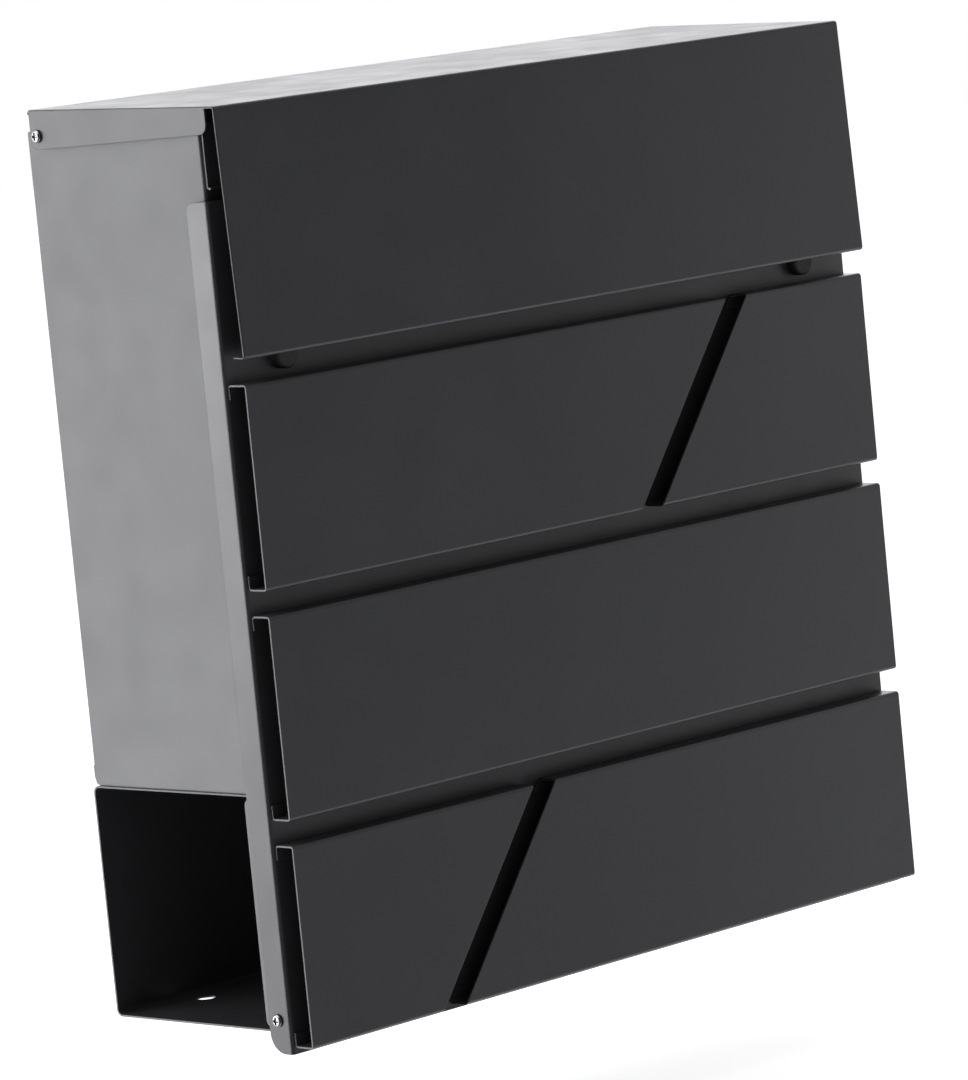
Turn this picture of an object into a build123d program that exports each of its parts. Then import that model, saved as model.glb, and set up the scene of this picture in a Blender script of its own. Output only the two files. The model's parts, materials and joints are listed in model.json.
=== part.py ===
from build123d import *
import os

# Wall letterbox with a newspaper tunnel under it. All sizes in mm.
# X runs to the right seen from the front, Y runs towards the wall, Z runs up.
# The origin is the middle of the four wall holes, on the rear face.

# driving dimensions
face_width = 370.0
panel_height = 82.4
panel_gap = 10.0
total_depth = 117.0
channel_depth = 10.4
channel_lip = 5.6
sheet = 0.8
bend = 1.1
mount_height = 235.0
hole_spacing_x = 290.0
hole_spacing_z = 200.0
wall_hole_radius = 3.5

# levels and planes worked out from them
face_y = -total_depth
plate_y = face_y + channel_depth
frame_y = plate_y + 3.6
face_bottom = -mount_height
pitch = panel_height + panel_gap

# body and tunnel
body_half = 183.0
tunnel_half = 184.0
tunnel_bottom = face_bottom + 5.6
tunnel_top = face_bottom + 102.0
body_top = face_bottom + 371.0
return_lip = 10.0
corner_radius = 4.0
floor_flange = 16.0
tunnel_radius = 3.0
ear_rear = frame_y + 12.9
ear_margin = 1.7
ear_radius = 3.0
drain_x = 146.0
drain_y = -13.0
drain_radius = 4.0
floor_rivet_x = (-90.0, -30.0, 30.0, 90.0)
floor_rivet_y = -10.0

# lid
lid_half = 186.0
lid_rear_y = -5.0
lid_rear_z = face_bottom + 380.0
lid_front_z = face_bottom + 377.4
flap_bottom_z = face_bottom + 277.2
flap_set_back = 1.4
flap_lean = 3.4
flap_lip = 6.0
lid_flange_rear = 16.4
lid_flange_front = 10.8
lid_flange_end = 6.8
lid_flange_radius = 4.0
lid_flange_inset = 1.0
lid_edge_radius = 0.6
drip_height = 1.6
lid_pivot_y = -10.0
lid_pivot_z = face_bottom + 369.2

# door
door_half = 186.5
door_top = face_bottom + 340.0
door_bottom = face_bottom - 2.6
door_flange = 12.2
door_foot_radius = 8.0
door_head_radius = 4.0
door_return_length = 330.0
door_return_width = 9.0
door_pivot_y = face_y + 17.3
door_pivot_z = face_bottom + 11.0
slash_gap = 13.3
slash_run = 64.5
slash_middle = 72.0

# crossbar and lock
bar_half = body_half - sheet - 0.1
bar_bottom = face_bottom + 344.4
bar_top = face_bottom + 372.0
bar_depth = 8.0
bar_hook = 24.0
lock_z = face_bottom + 322.0
lock_face_radius = 11.0
lock_face_height = 2.5
barrel_radius = 8.0
barrel_length = 12.0
plug_radius = 5.0
plug_square = 6.0
lock_nut_height = 3.5
cam_thickness = 2.0
cam_reach = 34.0
cam_y = plate_y + 14.3
bumper_x = 155.0
bumper_z = face_bottom + 276.0
bumper_radius = 6.0
bumper_height = 5.0
bumper_stem = 2.0

# small hardware
screw_radius = 1.5
screw_head_radius = 2.7
screw_head_height = 1.7
recess_length = 3.2
recess_width = 0.8
recess_depth = 1.0
nut_half_width = 2.4
nut_height = 2.4
spacer_radius = 3.5
washer_radius = 3.2
play = 0.05
rivet_radius = 1.6
rivet_head_radius = 3.0
rivet_bulb_radius = 2.3


def upright(section, x_from, x_to):
    """Push a section drawn in depth and height along X."""
    return Pos(x_from, 0, 0) * extrude(Plane.YZ * section, x_to - x_from, dir=(1, 0, 0))


def outline(corners, radii):
    """Closed outline whose corners are rounded by the radii given."""
    shape = make_face(Polyline(*corners, close=True))
    for corner, radius in zip(corners, radii):
        if radius > 0:
            vertex = shape.vertices().sort_by_distance(Vector(corner[0], corner[1], 0))[0]
            shape = fillet(vertex, radius)
    return shape


def corner_cutter(y, z, out_y, out_z, radius, half):
    """Tool that rounds a corner seen from the side; out_y and out_z point out of the part."""
    near_y = y - out_y * radius
    near_z = z - out_z * radius
    far_y = y + out_y * 2.0
    far_z = z + out_z * 2.0
    corners = [(near_y, near_z), (far_y, near_z), (far_y, far_z), (near_y, far_z)]
    square = make_face(Polyline(*corners, close=True))
    return upright(square - Pos(near_y, near_z) * Circle(radius), -half - 2.0, half + 2.0)


def bent_strip(path):
    """Section of a bent sheet that follows its middle line."""
    return trace(FilletPolyline(*path, radius=bend), sheet)


def along_x(radius, x_from, x_to, y, z):
    """Round bar lying along X."""
    bar = Cylinder(radius, abs(x_to - x_from), rotation=(0, 90, 0))
    return Pos((x_from + x_to) / 2, y, z) * bar


def along_y(radius, y_from, y_to, x, z):
    """Round bar lying along Y."""
    bar = Cylinder(radius, abs(y_to - y_from), rotation=(90, 0, 0))
    return Pos(x, (y_from + y_to) / 2, z) * bar


def along_z(radius, z_from, z_to, x, y):
    """Round bar standing along Z."""
    return Pos(x, y, (z_from + z_to) / 2) * Cylinder(radius, abs(z_to - z_from))


def both_sides(make):
    """The same piece made for the left and for the right end."""
    return [make(side) for side in (-1, 1)]


def wall_hole_spots():
    """The four wall holes, as X and Z."""
    return [(i * hole_spacing_x / 2, j * hole_spacing_z / 2) for i in (-1, 1) for j in (-1, 1)]


def floor_rivet_spots():
    """Where the body's floor flange is riveted on the tunnel roof, as X and Y."""
    return [(x, floor_rivet_y) for x in floor_rivet_x]


def body_shell():
    """Back, two sides and the narrow front returns, open at the top and the front."""
    half = body_half - sheet / 2
    front = frame_y + sheet / 2
    back = -sheet / 2
    lip = half - return_lip
    path = [(-lip, front), (-half, front), (-half, back), (half, back), (half, front), (lip, front)]
    shell = Pos(0, 0, tunnel_top) * extrude(bent_strip(path), body_top - tunnel_top, dir=(0, 0, 1))
    shell = shell - corner_cutter(0, tunnel_top, 1, -1, corner_radius, body_half)
    shell = shell - corner_cutter(0, body_top, 1, 1, corner_radius / 2, body_half)
    low = tunnel_top + sheet / 2
    turn = corner_radius - sheet / 2
    fold = FilletPolyline((-floor_flange, low), (back, low), (back, low + 2 * corner_radius), radius=turn)
    shell = shell + upright(trace(fold, sheet), -half, half)
    for x, z in wall_hole_spots():
        shell = shell - along_y(wall_hole_radius, -3, 1, x, z)
    for x, y in floor_rivet_spots():
        shell = shell - along_z(rivet_radius + play, tunnel_top - 1, tunnel_top + 2, x, y)
    shell = shell - along_x(screw_radius + play, -body_half - 2, -body_half + 2, lid_pivot_y, lid_pivot_z)
    shell = shell - along_x(screw_radius + play, body_half - 2, body_half + 2, lid_pivot_y, lid_pivot_z)
    return shell


def tunnel_section(inset):
    """Closed outline of the tunnel, drawn in depth and height."""
    depth = -frame_y - 2 * inset
    height = tunnel_top - tunnel_bottom - 2 * inset
    rounded = RectangleRounded(depth, height, tunnel_radius - inset)
    return Pos(frame_y / 2, (tunnel_top + tunnel_bottom) / 2) * rounded


def newspaper_tunnel():
    """Tunnel open at both ends, with ears that carry the door pivots."""
    tunnel = upright(tunnel_section(0) - tunnel_section(sheet), -tunnel_half, tunnel_half)
    low = tunnel_bottom + ear_margin
    high = tunnel_top - ear_margin
    front = frame_y + sheet / 2
    corners = [(front, low), (ear_rear, low), (ear_rear, high), (front, high)]
    shape = outline(corners, [0, ear_radius, ear_radius, 0])
    tunnel = tunnel + upright(shape, -tunnel_half, -tunnel_half + sheet)
    tunnel = tunnel + upright(shape, tunnel_half - sheet, tunnel_half)
    for end in (-1, 1):
        tunnel = tunnel - along_z(drain_radius, tunnel_bottom - 1, tunnel_bottom + 2, end * drain_x, drain_y)
        x = end * tunnel_half
        tunnel = tunnel - along_x(screw_radius + play, x - 2, x + 2, door_pivot_y, door_pivot_z)
    for x, y in floor_rivet_spots():
        tunnel = tunnel - along_z(rivet_radius + play, tunnel_top - 2, tunnel_top + 1, x, y)
    return tunnel


def lock_crossbar():
    """Folded bar across the mouth, above the door, that the lock cam catches behind."""
    web = frame_y - sheet / 2
    rear = web + bar_depth
    top = bar_top - sheet / 2
    path = [(web - 2.0, bar_bottom + sheet / 2), (web, bar_bottom + sheet / 2), (web, top), (rear, top)]
    path = path + [(rear, bar_top - bar_hook)]
    bar = upright(bent_strip(path), -bar_half, bar_half)
    pocket = Box(2 * return_lip + 4.0, bar_depth + 4.0, 2 * bar_hook)
    for end in (-1, 1):
        bar = bar - Pos(end * bar_half, frame_y + bar_depth / 2 + 2.0, bar_top - bar_hook / 2) * pocket
    return bar


def lid():
    """Sloping top, hanging front flap with a return lip, and two side flanges."""
    half_sheet = sheet / 2
    front = face_y + flap_set_back + half_sheet
    flap_top = (front, lid_front_z - half_sheet)
    flap_foot = (front - flap_lean, flap_bottom_z + half_sheet)
    rear = (lid_rear_y - half_sheet, lid_rear_z - half_sheet)
    drip = (rear[0], rear[1] - drip_height)
    lip = (flap_foot[0] + flap_lip, flap_foot[1] + 0.3)
    cover = upright(bent_strip([drip, rear, flap_top, flap_foot, lip]), -lid_half, lid_half)
    flange_rear = lid_rear_y - lid_flange_inset
    flange_front = face_y + lid_flange_end
    rear_corners = [(flange_rear, lid_rear_z - half_sheet), (flange_rear, lid_rear_z - lid_flange_rear)]
    front_corners = [(flange_front, lid_front_z - lid_flange_front), (flange_front, lid_front_z - half_sheet)]
    flange = outline(rear_corners + front_corners, [0, lid_flange_radius, lid_flange_radius, 0])
    cover = cover + upright(flange, -lid_half, -lid_half + sheet)
    cover = cover + upright(flange, lid_half - sheet, lid_half)
    for end in (-1, 1):
        x = end * lid_half
        cover = cover - along_x(screw_radius + play, x - 2, x + 2, lid_pivot_y, lid_pivot_z)
    long_edges = [e for e in cover.edges().filter_by(GeomType.LINE) if e.length > 0.8 * total_depth]
    side_edges = [e for e in long_edges if abs(abs(e.center().X) - lid_half) < 0.01]
    return fillet([e for e in side_edges if e.center().Z > lid_front_z], lid_edge_radius)


def door_pan():
    """Door plate with side flanges that wrap the body and a top return."""
    half = door_half - sheet / 2
    rear = plate_y + door_flange
    path = [(-half, rear), (-half, plate_y + sheet / 2), (half, plate_y + sheet / 2), (half, rear)]
    pan = Pos(0, 0, door_bottom) * extrude(bent_strip(path), door_top - door_bottom, dir=(0, 0, 1))
    pan = pan - corner_cutter(rear, door_bottom, 1, -1, door_foot_radius, door_half)
    pan = pan - corner_cutter(rear, door_top, 1, 1, door_head_radius, door_half)
    top_return = Box(door_return_length, door_return_width, sheet)
    pan = pan + Pos(0, plate_y + door_return_width / 2 + sheet / 2, door_top - sheet / 2) * top_return
    for end in (-1, 1):
        x = end * door_half
        pan = pan - along_x(screw_radius + play, x - 2, x + 2, door_pivot_y, door_pivot_z)
        pan = pan - along_y(bumper_stem + play, plate_y - 1, plate_y + 2, end * bumper_x, bumper_z)
    pan = pan - along_y(barrel_radius + play, plate_y - 1, plate_y + 2, 0, lock_z)
    return pan


def channel(bottom):
    """One full-width front panel: a C-channel open at both ends."""
    rear = plate_y - sheet / 2
    front = face_y + sheet / 2
    low = bottom + sheet / 2
    high = bottom + panel_height - sheet / 2
    path = [(rear, high - channel_lip), (rear, high), (front, high)]
    path = path + [(front, low), (rear, low), (rear, low + channel_lip)]
    return upright(bent_strip(path), -face_width / 2, face_width / 2)


def keep_beside(panel, bottom, middle, side):
    """Keep the part of a channel on one side of a slanting cut, and take the rest away."""
    spare = panel_gap / 2
    top = bottom + panel_height + spare
    low = bottom - spare
    reach = slash_run / panel_height * (panel_height / 2 + spare)
    far = -side * face_width
    near_top = middle + side * slash_gap / 2 + reach
    near_low = middle + side * slash_gap / 2 - reach
    shape = make_face(Polyline((near_top, top), (near_low, low), (far, low), (far, top), close=True))
    return panel - extrude(Plane.XZ * shape, 2 * total_depth, both=True)


def panel_piece(row, side):
    """Left or right half of a cut panel; the upper cut sits right, the lower cut left."""
    bottom = face_bottom + row * pitch
    middle = slash_middle if row == 2 else -slash_middle
    return keep_beside(channel(bottom), bottom, middle, side)


def pan_screw(side, x_head, y, z, length):
    """Pan-head screw lying along X with a cross recess."""
    head = along_x(screw_head_radius, 0, screw_head_height, 0, 0)
    rim = head.edges().filter_by(GeomType.CIRCLE).sort_by(Axis.X)[-1]
    head = fillet(rim, 0.7 * screw_head_height)
    recess = Pos(screw_head_height, 0, 0) * Box(2 * recess_depth, recess_length, recess_width)
    head = head - recess - Rot(90, 0, 0) * recess
    screw = head + along_x(screw_radius, -length, 0.2, 0, 0)
    turn = Rot(0, 0, 0) if side > 0 else Rot(0, 0, 180)
    return Pos(side * x_head, y, z) * (turn * screw)


def ring(side, x_from, x_to, outer, y, z):
    """Washer or spacer round a pivot screw."""
    disc = along_x(outer, side * x_from, side * x_to, y, z)
    return disc - along_x(screw_radius + play / 2, side * (x_from - 1), side * (x_to + 1), y, z)


def pivot_nut(side, x_outer, y, z):
    """Hexagon nut on the inner end of a pivot screw."""
    hexagon = RegularPolygon(nut_half_width, 6, major_radius=False, rotation=30)
    body = extrude(Plane.YZ * hexagon, nut_height, dir=(1, 0, 0))
    body = body - along_x(screw_radius + play / 2, -1, nut_height + 1, 0, 0)
    x = x_outer - nut_height if side > 0 else -x_outer
    return Pos(x, y, z) * body


def rivet():
    """Blind rivet on Z: head above, two sheets gripped, bulb below."""
    grip = 2 * sheet
    head = along_z(rivet_head_radius, 0, 1.0, 0, 0)
    head = fillet(head.edges().filter_by(GeomType.CIRCLE).sort_by(Axis.Z)[-1], 0.8)
    shank = along_z(rivet_radius, -grip, 0.2, 0, 0)
    return head + shank + along_z(rivet_bulb_radius, -grip - 1.8, -grip, 0, 0)


def floor_rivets():
    """Rivets that hold the body on the tunnel roof."""
    return [Pos(x, y, tunnel_top + sheet) * rivet() for x, y in floor_rivet_spots()]


def bumper(side):
    """Rubber buffer pushed through the door plate under the lid flap."""
    head = along_y(bumper_radius, plate_y - bumper_height, plate_y, side * bumper_x, bumper_z)
    head = fillet(head.edges().filter_by(GeomType.CIRCLE).sort_by(Axis.Y)[0], bumper_radius / 4)
    stem = along_y(bumper_stem, plate_y - 0.5, plate_y + 2.8, side * bumper_x, bumper_z)
    barb = along_y(bumper_stem + 0.9, plate_y + sheet, plate_y + 2.2, side * bumper_x, bumper_z)
    return head + stem + barb


def lock_barrel():
    """Cam lock housing through the door plate."""
    head = along_y(lock_face_radius, plate_y - lock_face_height, plate_y, 0, lock_z)
    head = fillet(head.edges().filter_by(GeomType.CIRCLE).sort_by(Axis.Y)[0], 1.0)
    barrel = along_y(barrel_radius, plate_y - 0.5, plate_y + barrel_length, 0, lock_z)
    bore = along_y(plug_radius + play, plate_y - lock_face_height - 1, plate_y + barrel_length + 1, 0, lock_z)
    return head + barrel - bore


def lock_nut():
    """Hexagon nut that clamps the lock housing behind the door plate."""
    hexagon = Plane.XZ * RegularPolygon(lock_face_radius, 6, major_radius=False)
    rear = plate_y + sheet + lock_nut_height
    body = Pos(0, rear, lock_z) * extrude(hexagon, lock_nut_height, dir=(0, -1, 0))
    return body - along_y(barrel_radius + play, plate_y - 1, plate_y + 8, 0, lock_z)


def lock_plug():
    """Turning plug with the key slit in front and a square end for the cam."""
    front = plate_y - lock_face_height + 0.3
    shoulder = cam_y - cam_thickness
    plug = along_y(plug_radius, front, shoulder, 0, lock_z)
    square = Pos(0, shoulder + 1.1, lock_z) * Box(plug_square, cam_thickness + 0.4, plug_square)
    slit = Pos(0, front, lock_z) * Box(1.2, 8.0, 7.0)
    thread = along_y(screw_radius + play, plate_y + 8.0, plate_y + 16.0, 0, lock_z)
    return plug + square - slit - thread


def lock_cam():
    """Flat cam on the plug; at rest it points to the right and the door is free."""
    blade = outline([(-8, -8), (cam_reach, -6), (cam_reach, 6), (-8, 8)], [6, 3, 3, 6])
    blade = Pos(0, cam_y, lock_z) * extrude(Plane.XZ * blade, cam_thickness, dir=(0, -1, 0))
    hole = Pos(0, cam_y, lock_z) * Box(plug_square + play, 3 * cam_thickness, plug_square + play)
    return blade - hole


def cam_screw():
    """Screw with a flange that holds the cam on the plug."""
    seat = cam_y + 0.3
    head = along_y(4.5, seat, seat + 2.2, 0, lock_z)
    head = fillet(head.edges().filter_by(GeomType.CIRCLE).sort_by(Axis.Y)[-1], 0.8)
    head = head - Pos(0, seat + 2.0, lock_z) * Box(4.0, 1.6, 0.8)
    return head + along_y(screw_radius, plate_y + 9.0, seat + 0.2, 0, lock_z)


def lid_screw(side):
    return pan_screw(side, lid_half + 0.1, lid_pivot_y, lid_pivot_z, 9.0)


def lid_spacer(side):
    return ring(side, body_half, lid_half - sheet - 0.1, spacer_radius, lid_pivot_y, lid_pivot_z)


def lid_nut(side):
    return pivot_nut(side, body_half - sheet, lid_pivot_y, lid_pivot_z)


def door_screw(side):
    return pan_screw(side, door_half + 0.1, door_pivot_y, door_pivot_z, 7.0)


def door_washer(side):
    return ring(side, tunnel_half, door_half - sheet - 0.1, washer_radius, door_pivot_y, door_pivot_z)


def door_nut(side):
    return pivot_nut(side, tunnel_half - sheet, door_pivot_y, door_pivot_z)


def save(name, solids):
    """Write one STEP file; a list of solids shares the file."""
    shape = Compound(children=list(solids)) if isinstance(solids, list) else solids
    export_step(shape, os.path.join("parts", name + ".step"))


os.makedirs("parts", exist_ok=True)
save("body_shell", body_shell())
save("newspaper_tunnel", newspaper_tunnel())
save("lock_crossbar", lock_crossbar())
save("lid", lid())
save("door_pan", door_pan())
save("panel_upper_left", panel_piece(2, -1))
save("panel_upper_right", panel_piece(2, 1))
save("panel_middle", channel(face_bottom + pitch))
save("panel_lower_left", panel_piece(0, -1))
save("panel_lower_right", panel_piece(0, 1))
save("floor_rivets", floor_rivets())
save("lid_pivot_screws", both_sides(lid_screw))
save("lid_pivot_spacers", both_sides(lid_spacer))
save("lid_pivot_nuts", both_sides(lid_nut))
save("door_pivot_screws", both_sides(door_screw))
save("door_pivot_washers", both_sides(door_washer))
save("door_pivot_nuts", both_sides(door_nut))
save("lid_bumpers", both_sides(bumper))
save("lock_barrel", lock_barrel())
save("lock_nut", lock_nut())
save("lock_plug", lock_plug())
save("lock_cam", lock_cam())
save("cam_screw", cam_screw())
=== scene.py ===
"""Looks of the wall letterbox: powder-coated sheet steel, bright pivot screws, soft studio light."""
import json
import math
import bmesh
import bpy
from mathutils import Matrix, Vector


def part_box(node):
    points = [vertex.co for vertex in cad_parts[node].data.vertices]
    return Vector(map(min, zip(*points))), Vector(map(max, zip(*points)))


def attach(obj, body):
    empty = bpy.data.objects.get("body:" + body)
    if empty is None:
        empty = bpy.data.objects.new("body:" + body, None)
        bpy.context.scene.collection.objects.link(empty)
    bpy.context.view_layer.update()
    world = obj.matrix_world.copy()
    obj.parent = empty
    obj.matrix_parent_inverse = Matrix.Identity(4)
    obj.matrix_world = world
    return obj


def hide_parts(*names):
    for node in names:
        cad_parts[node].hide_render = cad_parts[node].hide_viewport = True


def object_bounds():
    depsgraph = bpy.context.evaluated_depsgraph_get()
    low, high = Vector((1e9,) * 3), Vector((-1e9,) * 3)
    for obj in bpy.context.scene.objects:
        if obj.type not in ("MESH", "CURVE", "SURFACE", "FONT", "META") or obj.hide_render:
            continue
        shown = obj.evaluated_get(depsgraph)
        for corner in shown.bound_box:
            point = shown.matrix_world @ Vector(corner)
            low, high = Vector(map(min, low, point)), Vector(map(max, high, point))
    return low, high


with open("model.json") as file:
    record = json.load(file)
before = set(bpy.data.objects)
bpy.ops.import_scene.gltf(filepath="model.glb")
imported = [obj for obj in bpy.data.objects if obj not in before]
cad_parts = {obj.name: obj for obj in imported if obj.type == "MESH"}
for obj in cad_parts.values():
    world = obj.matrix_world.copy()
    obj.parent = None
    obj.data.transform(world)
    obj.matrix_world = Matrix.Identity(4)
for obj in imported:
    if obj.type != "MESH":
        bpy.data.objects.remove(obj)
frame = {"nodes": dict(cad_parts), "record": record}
cad_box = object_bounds()
record = frame["record"]
nodes = frame["nodes"]
MM = 0.001

# camera: where it looks from and what it looks at, in degrees, metres and millimetres of lens
VIEW_AZIMUTH = -44.9
VIEW_ELEVATION = 6.6
VIEW_ROLL = 5.6
VIEW_DISTANCE = 2.55
VIEW_AIM = Vector((-0.0369, -0.0922, -0.0522))
VIEW_LENS = 204.9
SENSOR = 36.0

# studio: directions of the dim back and front walls, of the two bright panels and the ground glow that
# the coat mirrors, and the tint of all of them
BACK_WALL = (0.35, 0.93, 0.05)
FRONT_WALL = (0.75, -0.65, 0.0)
SIDE_PANEL = (-0.74, 0.66, -0.10)
RIM_PANEL = (0.72, 0.68, 0.16)
GROUND = (0.3, -0.3, -0.9)
COOL_WHITE = (0.985, 0.985, 1.015, 1.0)
PAPER_WHITE = (1.0, 1.0, 1.0, 1.0)

# floor: half its width and its gap under the box in metres, two pale tones, and its glow for the camera
FLOOR_HALF_WIDTH = 6.0
FLOOR_GAP = 0.06
FLOOR_DARKER = (0.86, 0.86, 0.86, 1.0)
FLOOR_LIGHTER = (0.9, 0.9, 0.9, 1.0)
FLOOR_GLOW = 0.85

# pivot screws, in millimetres: domed pan head with a cross recess on a plain shank
HEAD_RADIUS = 2.7
HEAD_HEIGHT = 1.7
HEAD_RIM = 0.55
SHANK_RADIUS = 1.5
RECESS_LENGTH = 3.3
RECESS_WIDTH = 0.85
RECESS_DEPTH = 1.0
RECESS_SLOPE = 0.16
TIP_NARROWING = 0.8
TIP_LENGTH = 0.4
RIM_BEVEL = 0.1
SHARP_ANGLE = math.radians(50)
TURNS = 96
RINGS = 30

# door flange, at its foot and at its top: sideways lean of the normal, and strength of the gloss
TWIST_LOW = -0.12
TWIST_HIGH = 0.10
GLOSS_LOW = 0.46
GLOSS_HIGH = 0.64

# powder coat: roughness range, index of refraction, and softened edge in metres
COAT_ROUGH = (0.33, 0.41)
COAT_IOR = 1.5
COAT_EDGE = 0.0005

# plated steel: reach of the painted shade in hollows in metres, and the tone that the painted shade leaves in
# a deep hollow
PAINTED_SHADE_REACH = 0.0016
PAINTED_SHADE_TONE = 0.06


def slot_colour(name):
    """Base colour that the record states for a material slot."""
    for entry in record["materials"]:
        if entry["slot"] == name:
            return tuple(entry["base_color"][:3]) + (1.0,)
    raise ValueError(name)


class Nodes:
    """Small helper that adds and joins shader nodes."""

    def __init__(self, name):
        self.material = bpy.data.materials.new(name)
        self.material.use_nodes = True
        self.tree = self.material.node_tree
        self.shader = self.tree.nodes["Principled BSDF"]
        self.place = self.add("ShaderNodeTexCoord").outputs["Object"]

    def add(self, kind, **values):
        node = self.tree.nodes.new(kind)
        for key, value in values.items():
            if key in node.inputs:
                node.inputs[key].default_value = value
            else:
                setattr(node, key, value)
        return node

    def join(self, source, target):
        self.tree.links.new(source, target)

    def noise(self, scale, detail=2.0, roughness=0.5):
        node = self.add("ShaderNodeTexNoise", Scale=scale, Detail=detail, Roughness=roughness)
        self.join(self.place, node.inputs["Vector"])
        return node.outputs["Fac"]

    def ramp(self, source, low, high, out_low, out_high):
        node = self.add("ShaderNodeMapRange")
        node.inputs["From Min"].default_value = low
        node.inputs["From Max"].default_value = high
        node.inputs["To Min"].default_value = out_low
        node.inputs["To Max"].default_value = out_high
        self.join(source, node.inputs["Value"])
        return node.outputs["Result"]

    def blend(self, factor, first, second):
        node = self.add("ShaderNodeMix", data_type="RGBA")
        self.join(factor, node.inputs["Factor"])
        for value, index in ((first, 6), (second, 7)):
            if hasattr(value, "links"):
                self.join(value, node.inputs[index])
            else:
                node.inputs[index].default_value = value
        return node.outputs[2]

    def bump(self, height, strength, distance, normal):
        node = self.add("ShaderNodeBump", Strength=strength, Distance=distance)
        self.join(height, node.inputs["Height"])
        self.join(normal, node.inputs["Normal"])
        return node.outputs["Normal"]

    def soft_edge(self, radius):
        node = self.add("ShaderNodeBevel", samples=4, Radius=radius)
        return node.outputs["Normal"]


def scaled(colour, factor):
    return tuple(channel * factor for channel in colour[:3]) + (1.0,)


def flange_twist(n, normal):
    """Normal of a flange that springs in at the top and out at the bottom; also grades the gloss."""
    low, high = (corner.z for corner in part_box("door_pan"))
    split = n.add("ShaderNodeSeparateXYZ")
    n.join(n.place, split.inputs[0])
    gloss = n.ramp(split.outputs["Z"], low, high, GLOSS_LOW, GLOSS_HIGH)
    n.join(gloss, n.shader.inputs["Specular IOR Level"])
    tilt = n.add("ShaderNodeCombineXYZ")
    n.join(n.ramp(split.outputs["Z"], low, high, TWIST_LOW, TWIST_HIGH), tilt.inputs["Y"])
    total = n.add("ShaderNodeVectorMath", operation="ADD")
    n.join(normal, total.inputs[0])
    n.join(tilt.outputs[0], total.inputs[1])
    unit = n.add("ShaderNodeVectorMath", operation="NORMALIZE")
    n.join(total.outputs[0], unit.inputs[0])
    return unit.outputs[0]


def powder_coat(name, twisted):
    """Satin anthracite powder coat: fine orange peel, faint speckle, slight tone drift."""
    n = Nodes(name)
    base = slot_colour("powder_coat")
    drift = n.noise(9.0, 3.0)
    speckle = n.noise(2600.0, 1.0)
    tone = n.blend(n.ramp(drift, 0.35, 0.65, 0.0, 1.0), scaled(base, 0.92), scaled(base, 1.08))
    dots = n.ramp(speckle, 0.62, 0.75, 0.0, 0.35)
    n.join(n.blend(dots, tone, scaled(base, 1.9)), n.shader.inputs["Base Color"])
    n.join(n.ramp(n.noise(45.0, 4.0), 0.3, 0.7, *COAT_ROUGH), n.shader.inputs["Roughness"])
    n.shader.inputs["IOR"].default_value = COAT_IOR
    edge = n.soft_edge(COAT_EDGE)
    if twisted:
        edge = flange_twist(n, edge)
    peel = n.bump(n.noise(750.0, 2.0), 0.10, 0.0004, edge)
    grain = n.bump(speckle, 0.05, 0.0001, peel)
    n.join(grain, n.shader.inputs["Normal"])
    return n.material


def plated_steel(name, slot, shade, rough_low, rough_high):
    """Plated steel with fine turning marks and uneven polish; painted shade darkens the colour in hollows
    such as the cross recess.
    """
    n = Nodes(name)
    base = scaled(slot_colour(slot), shade)
    n.shader.inputs["Metallic"].default_value = 1.0
    metal = n.blend(n.noise(420.0, 3.0), scaled(base, 0.82), scaled(base, 1.12))
    # painted shade: ambient occlusion darkens the base colour in the cross recess and other hollows
    shade_occlusion = n.add("ShaderNodeAmbientOcclusion", samples=6, Distance=PAINTED_SHADE_REACH).outputs["AO"]
    painted_shade_mask = n.ramp(shade_occlusion, 0.35, 0.95, 0.0, 1.0)
    n.join(n.blend(painted_shade_mask, scaled(base, PAINTED_SHADE_TONE), metal), n.shader.inputs["Base Color"])
    n.join(n.ramp(n.noise(900.0, 2.0), 0.3, 0.7, rough_low, rough_high), n.shader.inputs["Roughness"])
    marks = n.bump(n.noise(3500.0, 2.0), 0.12, 0.0001, n.soft_edge(0.0003))
    n.join(marks, n.shader.inputs["Normal"])
    return n.material


def dull_black(name, slot, roughness, grain):
    """Moulded rubber or nylon with a fine grain."""
    n = Nodes(name)
    base = slot_colour(slot)
    cloud = n.noise(300.0, 3.0)
    n.join(n.blend(cloud, scaled(base, 0.8), scaled(base, 1.3)), n.shader.inputs["Base Color"])
    n.join(n.ramp(n.noise(700.0), 0.3, 0.7, roughness - 0.06, roughness + 0.06), n.shader.inputs["Roughness"])
    n.join(n.bump(n.noise(grain, 2.0), 0.2, 0.0002, n.soft_edge(0.0004)), n.shader.inputs["Normal"])
    return n.material


def dress_nodes():
    """Give every CAD node the finish of its slot."""
    finish = {
        "powder_coat": powder_coat("powder_coat_satin", False),
        "zinc_steel": plated_steel("zinc_plate", "zinc_steel", 0.9, 0.32, 0.45),
        "bright_steel": plated_steel("nickel_plate", "bright_steel", 0.5, 0.14, 0.24),
        "lock_metal": plated_steel("satin_chrome", "lock_metal", 0.9, 0.18, 0.28),
        "nylon": dull_black("black_nylon", "nylon", 0.5, 1200.0),
        "rubber": dull_black("black_rubber", "rubber", 0.65, 1500.0),
    }
    for part in record["subparts"]:
        mesh_object = nodes[part["node"]]
        for holder in mesh_object.material_slots:
            holder.material = finish[part["material_slot"]]
    nodes["door_pan"].material_slots[0].material = powder_coat("powder_coat_door", True)
    pivot_screws("lid_pivot_screws", finish["bright_steel"])
    pivot_screws("door_pivot_screws", finish["bright_steel"])


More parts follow.
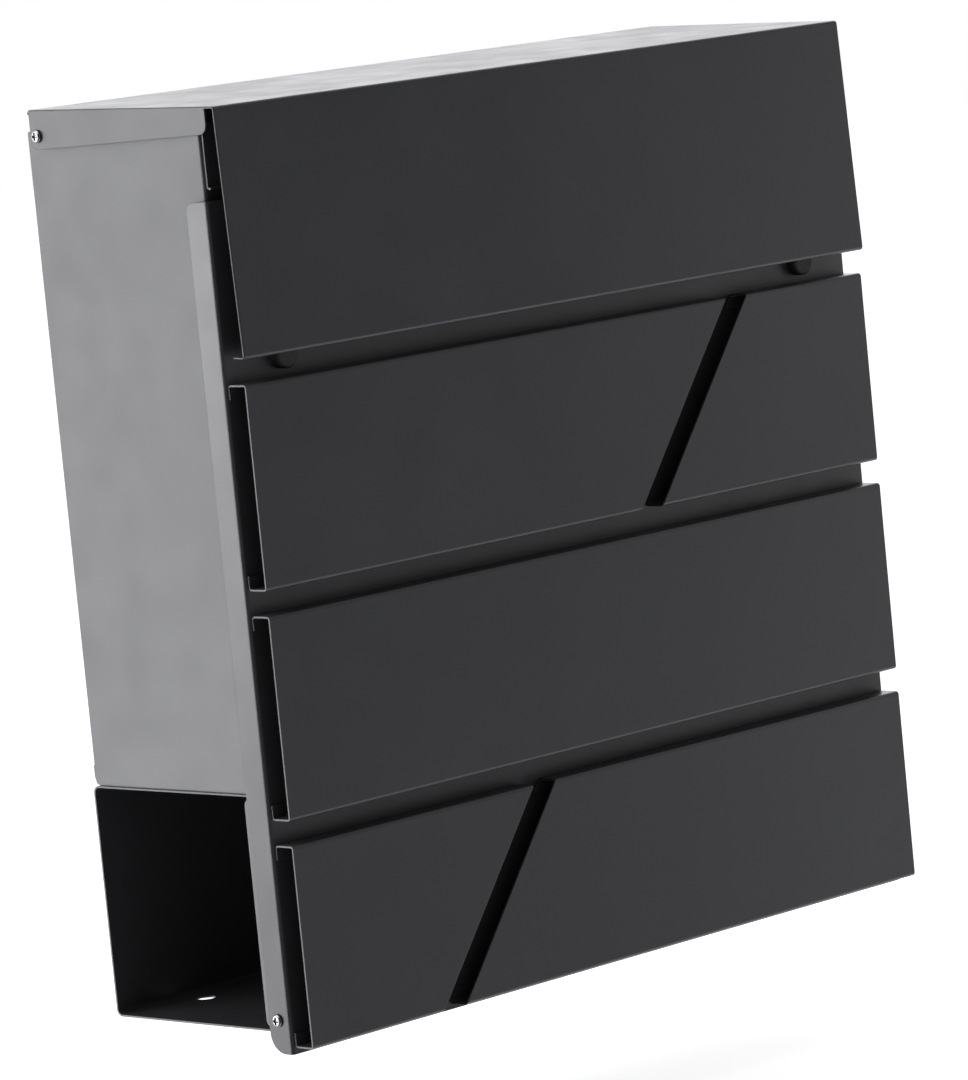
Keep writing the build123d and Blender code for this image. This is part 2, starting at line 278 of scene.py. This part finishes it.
def recess_depth(across, up):
    """Depth of the cross recess at a point of the screw head, in millimetres."""
    def arm(along, beside):
        wall = (RECESS_WIDTH / 2 - abs(beside)) / RECESS_SLOPE + 0.5
        end = (RECESS_LENGTH / 2 - abs(along)) / (3 * RECESS_SLOPE)
        return min(max(wall, 0.0), 1.0) * min(max(end, 0.0), 1.0)
    return RECESS_DEPTH * max(arm(across, up), arm(up, across))


def head_point(radius, angle):
    """Point on the dome of a screw head: height above the seat and the two sideways distances."""
    across = radius * math.cos(angle)
    up = radius * math.sin(angle)
    dome = math.sqrt(max(0.0, 1.0 - (radius / HEAD_RADIUS) ** 2))
    height = HEAD_RIM + (HEAD_HEIGHT - HEAD_RIM) * dome - recess_depth(across, up)
    return height, across, up


def add_screw(mesh, low, high, side):
    """One pan-head screw that fills the place of a CAD screw; side is -1 for left, 1 for right."""
    centre_y = (low.y + high.y) / 2
    centre_z = (low.z + high.z) / 2
    outer = high.x if side > 0 else low.x
    seat = outer - side * HEAD_HEIGHT * MM
    length = abs((low.x if side > 0 else high.x) - seat)

    def ring(points):
        spots = [(seat + side * x * MM, centre_y + y * MM, centre_z + z * MM) for x, y, z in points]
        return [mesh.verts.new(spot) for spot in spots]

    def circle(x, radius):
        angles = [2 * math.pi * k / TURNS for k in range(TURNS)]
        return ring([(x, radius * math.cos(a), radius * math.sin(a)) for a in angles])

    def dome_circle(radius):
        return ring([head_point(radius, 2 * math.pi * k / TURNS) for k in range(TURNS)])

    end = -length / MM
    rows = [circle(end, SHANK_RADIUS * TIP_NARROWING), circle(end + TIP_LENGTH, SHANK_RADIUS)]
    rows += [circle(0.0, SHANK_RADIUS), circle(0.0, HEAD_RADIUS - RIM_BEVEL), circle(RIM_BEVEL, HEAD_RADIUS)]
    rows += [dome_circle(HEAD_RADIUS * math.sin(math.pi / 2 * (RINGS - k) / RINGS)) for k in range(RINGS)]
    for first, second in zip(rows, rows[1:]):
        for k in range(TURNS):
            after = (k + 1) % TURNS
            mesh.faces.new((first[k], first[after], second[after], second[k]))
    tip = ring([(end, 0.0, 0.0)])[0]
    crown = ring([head_point(0.0, 0.0)])[0]
    for k in range(TURNS):
        after = (k + 1) % TURNS
        mesh.faces.new((rows[0][after], rows[0][k], tip))
        mesh.faces.new((rows[-1][k], rows[-1][after], crown))


def pivot_screws(node, material):
    """Pair of finely meshed screws, left and right, in place of a CAD node."""
    low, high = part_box(node)
    half_length = (high.x - low.x) / 2
    inner = min(abs(v.co.x) for v in nodes[node].data.vertices)
    mesh = bmesh.new()
    add_screw(mesh, Vector((-half_length, low.y, low.z)), Vector((-inner, high.y, high.z)), -1)
    add_screw(mesh, Vector((inner, low.y, low.z)), Vector((half_length, high.y, high.z)), 1)
    bmesh.ops.recalc_face_normals(mesh, faces=mesh.faces)
    data = bpy.data.meshes.new(node + "_fine")
    mesh.to_mesh(data)
    mesh.free()
    data.shade_smooth()
    data.set_sharp_from_angle(angle=SHARP_ANGLE)
    data.materials.append(material)
    piece = bpy.data.objects.new(node + "_fine", data)
    bpy.context.scene.collection.objects.link(piece)
    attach(piece, "housing")
    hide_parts(node)


def studio_world():
    """White backdrop for the camera; the light is bright behind and left, dim in front."""
    world = bpy.data.worlds.new("studio")
    bpy.context.scene.world = world
    world.use_nodes = True
    tree = world.node_tree
    tree.nodes.clear()
    make = tree.nodes.new
    join = tree.links.new
    place = make("ShaderNodeTexCoord")

    def lobe(direction, start, end, low, high):
        """Brightness that rises smoothly towards one direction."""
        toward = make("ShaderNodeVectorMath")
        toward.operation = "DOT_PRODUCT"
        toward.inputs[1].default_value = Vector(direction).normalized()
        level = make("ShaderNodeMapRange")
        level.interpolation_type = "SMOOTHSTEP"
        level.inputs["From Min"].default_value = start
        level.inputs["From Max"].default_value = end
        level.inputs["To Min"].default_value = low
        level.inputs["To Max"].default_value = high
        join(place.outputs["Generated"], toward.inputs[0])
        join(toward.outputs["Value"], level.inputs["Value"])
        return level.outputs["Result"]

    def combine(operation, first, second):
        step = make("ShaderNodeMath")
        step.operation = operation
        join(first, step.inputs[0])
        join(second, step.inputs[1])
        return step.outputs[0]

    path = make("ShaderNodeLightPath")
    side = lobe(SIDE_PANEL, 0.76, 0.94, 0.0, 5.3)
    rim = lobe(RIM_PANEL, 0.80, 0.97, 0.0, 1.3)
    ground = lobe(GROUND, 0.45, 0.85, 0.0, 0.8)
    panels = combine("ADD", combine("ADD", side, rim), ground)
    panels = combine("MULTIPLY", panels, path.outputs["Is Glossy Ray"])
    back = lobe(BACK_WALL, -0.5, 0.9, 0.06, 0.9)
    front = lobe(FRONT_WALL, -0.2, 0.9, 0.0, 0.17)
    walls = combine("ADD", back, front)
    total = combine("ADD", walls, panels)
    glow = make("ShaderNodeBackground")
    glow.inputs["Color"].default_value = COOL_WHITE
    join(total, glow.inputs["Strength"])
    paper = make("ShaderNodeBackground")
    paper.inputs["Color"].default_value = PAPER_WHITE
    mix = make("ShaderNodeMixShader")
    join(path.outputs["Is Camera Ray"], mix.inputs[0])
    join(glow.outputs[0], mix.inputs[1])
    join(paper.outputs[0], mix.inputs[2])
    out = make("ShaderNodeOutputWorld")
    join(mix.outputs[0], out.inputs[0])


def studio_floor():
    """Large pale floor a little below the box."""
    size = FLOOR_HALF_WIDTH
    level = cad_box[0].z - FLOOR_GAP
    mesh = bpy.data.meshes.new("floor")
    corners = [(-size, -size, level), (size, -size, level), (size, size, level), (-size, size, level)]
    mesh.from_pydata(corners, [], [(0, 1, 2, 3)])
    floor = bpy.data.objects.new("floor", mesh)
    bpy.context.scene.collection.objects.link(floor)
    n = Nodes("pale_floor")
    pale = n.blend(n.noise(3.0), FLOOR_DARKER, FLOOR_LIGHTER)
    n.join(pale, n.shader.inputs["Base Color"])
    n.join(pale, n.shader.inputs["Emission Color"])
    seen = n.add("ShaderNodeLightPath").outputs["Is Camera Ray"]
    n.join(n.ramp(seen, 0.0, 1.0, 0.0, FLOOR_GLOW), n.shader.inputs["Emission Strength"])
    n.shader.inputs["Roughness"].default_value = 0.9
    mesh.materials.append(n.material)
    floor.visible_glossy = False


def soft_light(name, direction, distance, size, power):
    """Rectangular area light that points at the middle of the box."""
    data = bpy.data.lights.new(name, "AREA")
    data.shape = "RECTANGLE"
    data.size, data.size_y = size
    data.energy = power
    lamp = bpy.data.objects.new(name, data)
    bpy.context.scene.collection.objects.link(lamp)
    middle = (cad_box[0] + cad_box[1]) / 2
    spot = Vector(direction).normalized()
    lamp.location = middle + spot * distance
    lamp.rotation_mode = "QUATERNION"
    lamp.rotation_quaternion = (-spot).to_track_quat("-Z", "Y")
    lamp.visible_camera = False


def place_camera():
    """Long lens from the left, slightly above, rolled as the view is."""
    data = bpy.data.cameras.new("camera")
    data.lens = VIEW_LENS
    data.sensor_width = SENSOR
    camera = bpy.data.objects.new("camera", data)
    bpy.context.scene.collection.objects.link(camera)
    a = math.radians(VIEW_AZIMUTH)
    e = math.radians(VIEW_ELEVATION)
    back = Vector((math.sin(a) * math.cos(e), -math.cos(a) * math.cos(e), math.sin(e)))
    right = Vector((math.cos(a), math.sin(a), 0.0))
    up = back.cross(right)
    turn = Matrix((right, up, back)).transposed().to_4x4()
    roll = Matrix.Rotation(-math.radians(VIEW_ROLL), 4, "Z")
    camera.matrix_world = Matrix.Translation(VIEW_AIM + back * VIEW_DISTANCE) @ turn @ roll
    bpy.context.scene.camera = camera


dress_nodes()
studio_world()
studio_floor()
soft_light("key_top_left", (-0.9, 0.35, 1.0), 1.8, (1.6, 1.2), 12.0)
soft_light("fill_right", (0.86, -0.50, -0.10), 0.60, (0.25, 0.9), 0.25)
place_camera()
bpy.context.scene.view_settings.view_transform = "Standard"
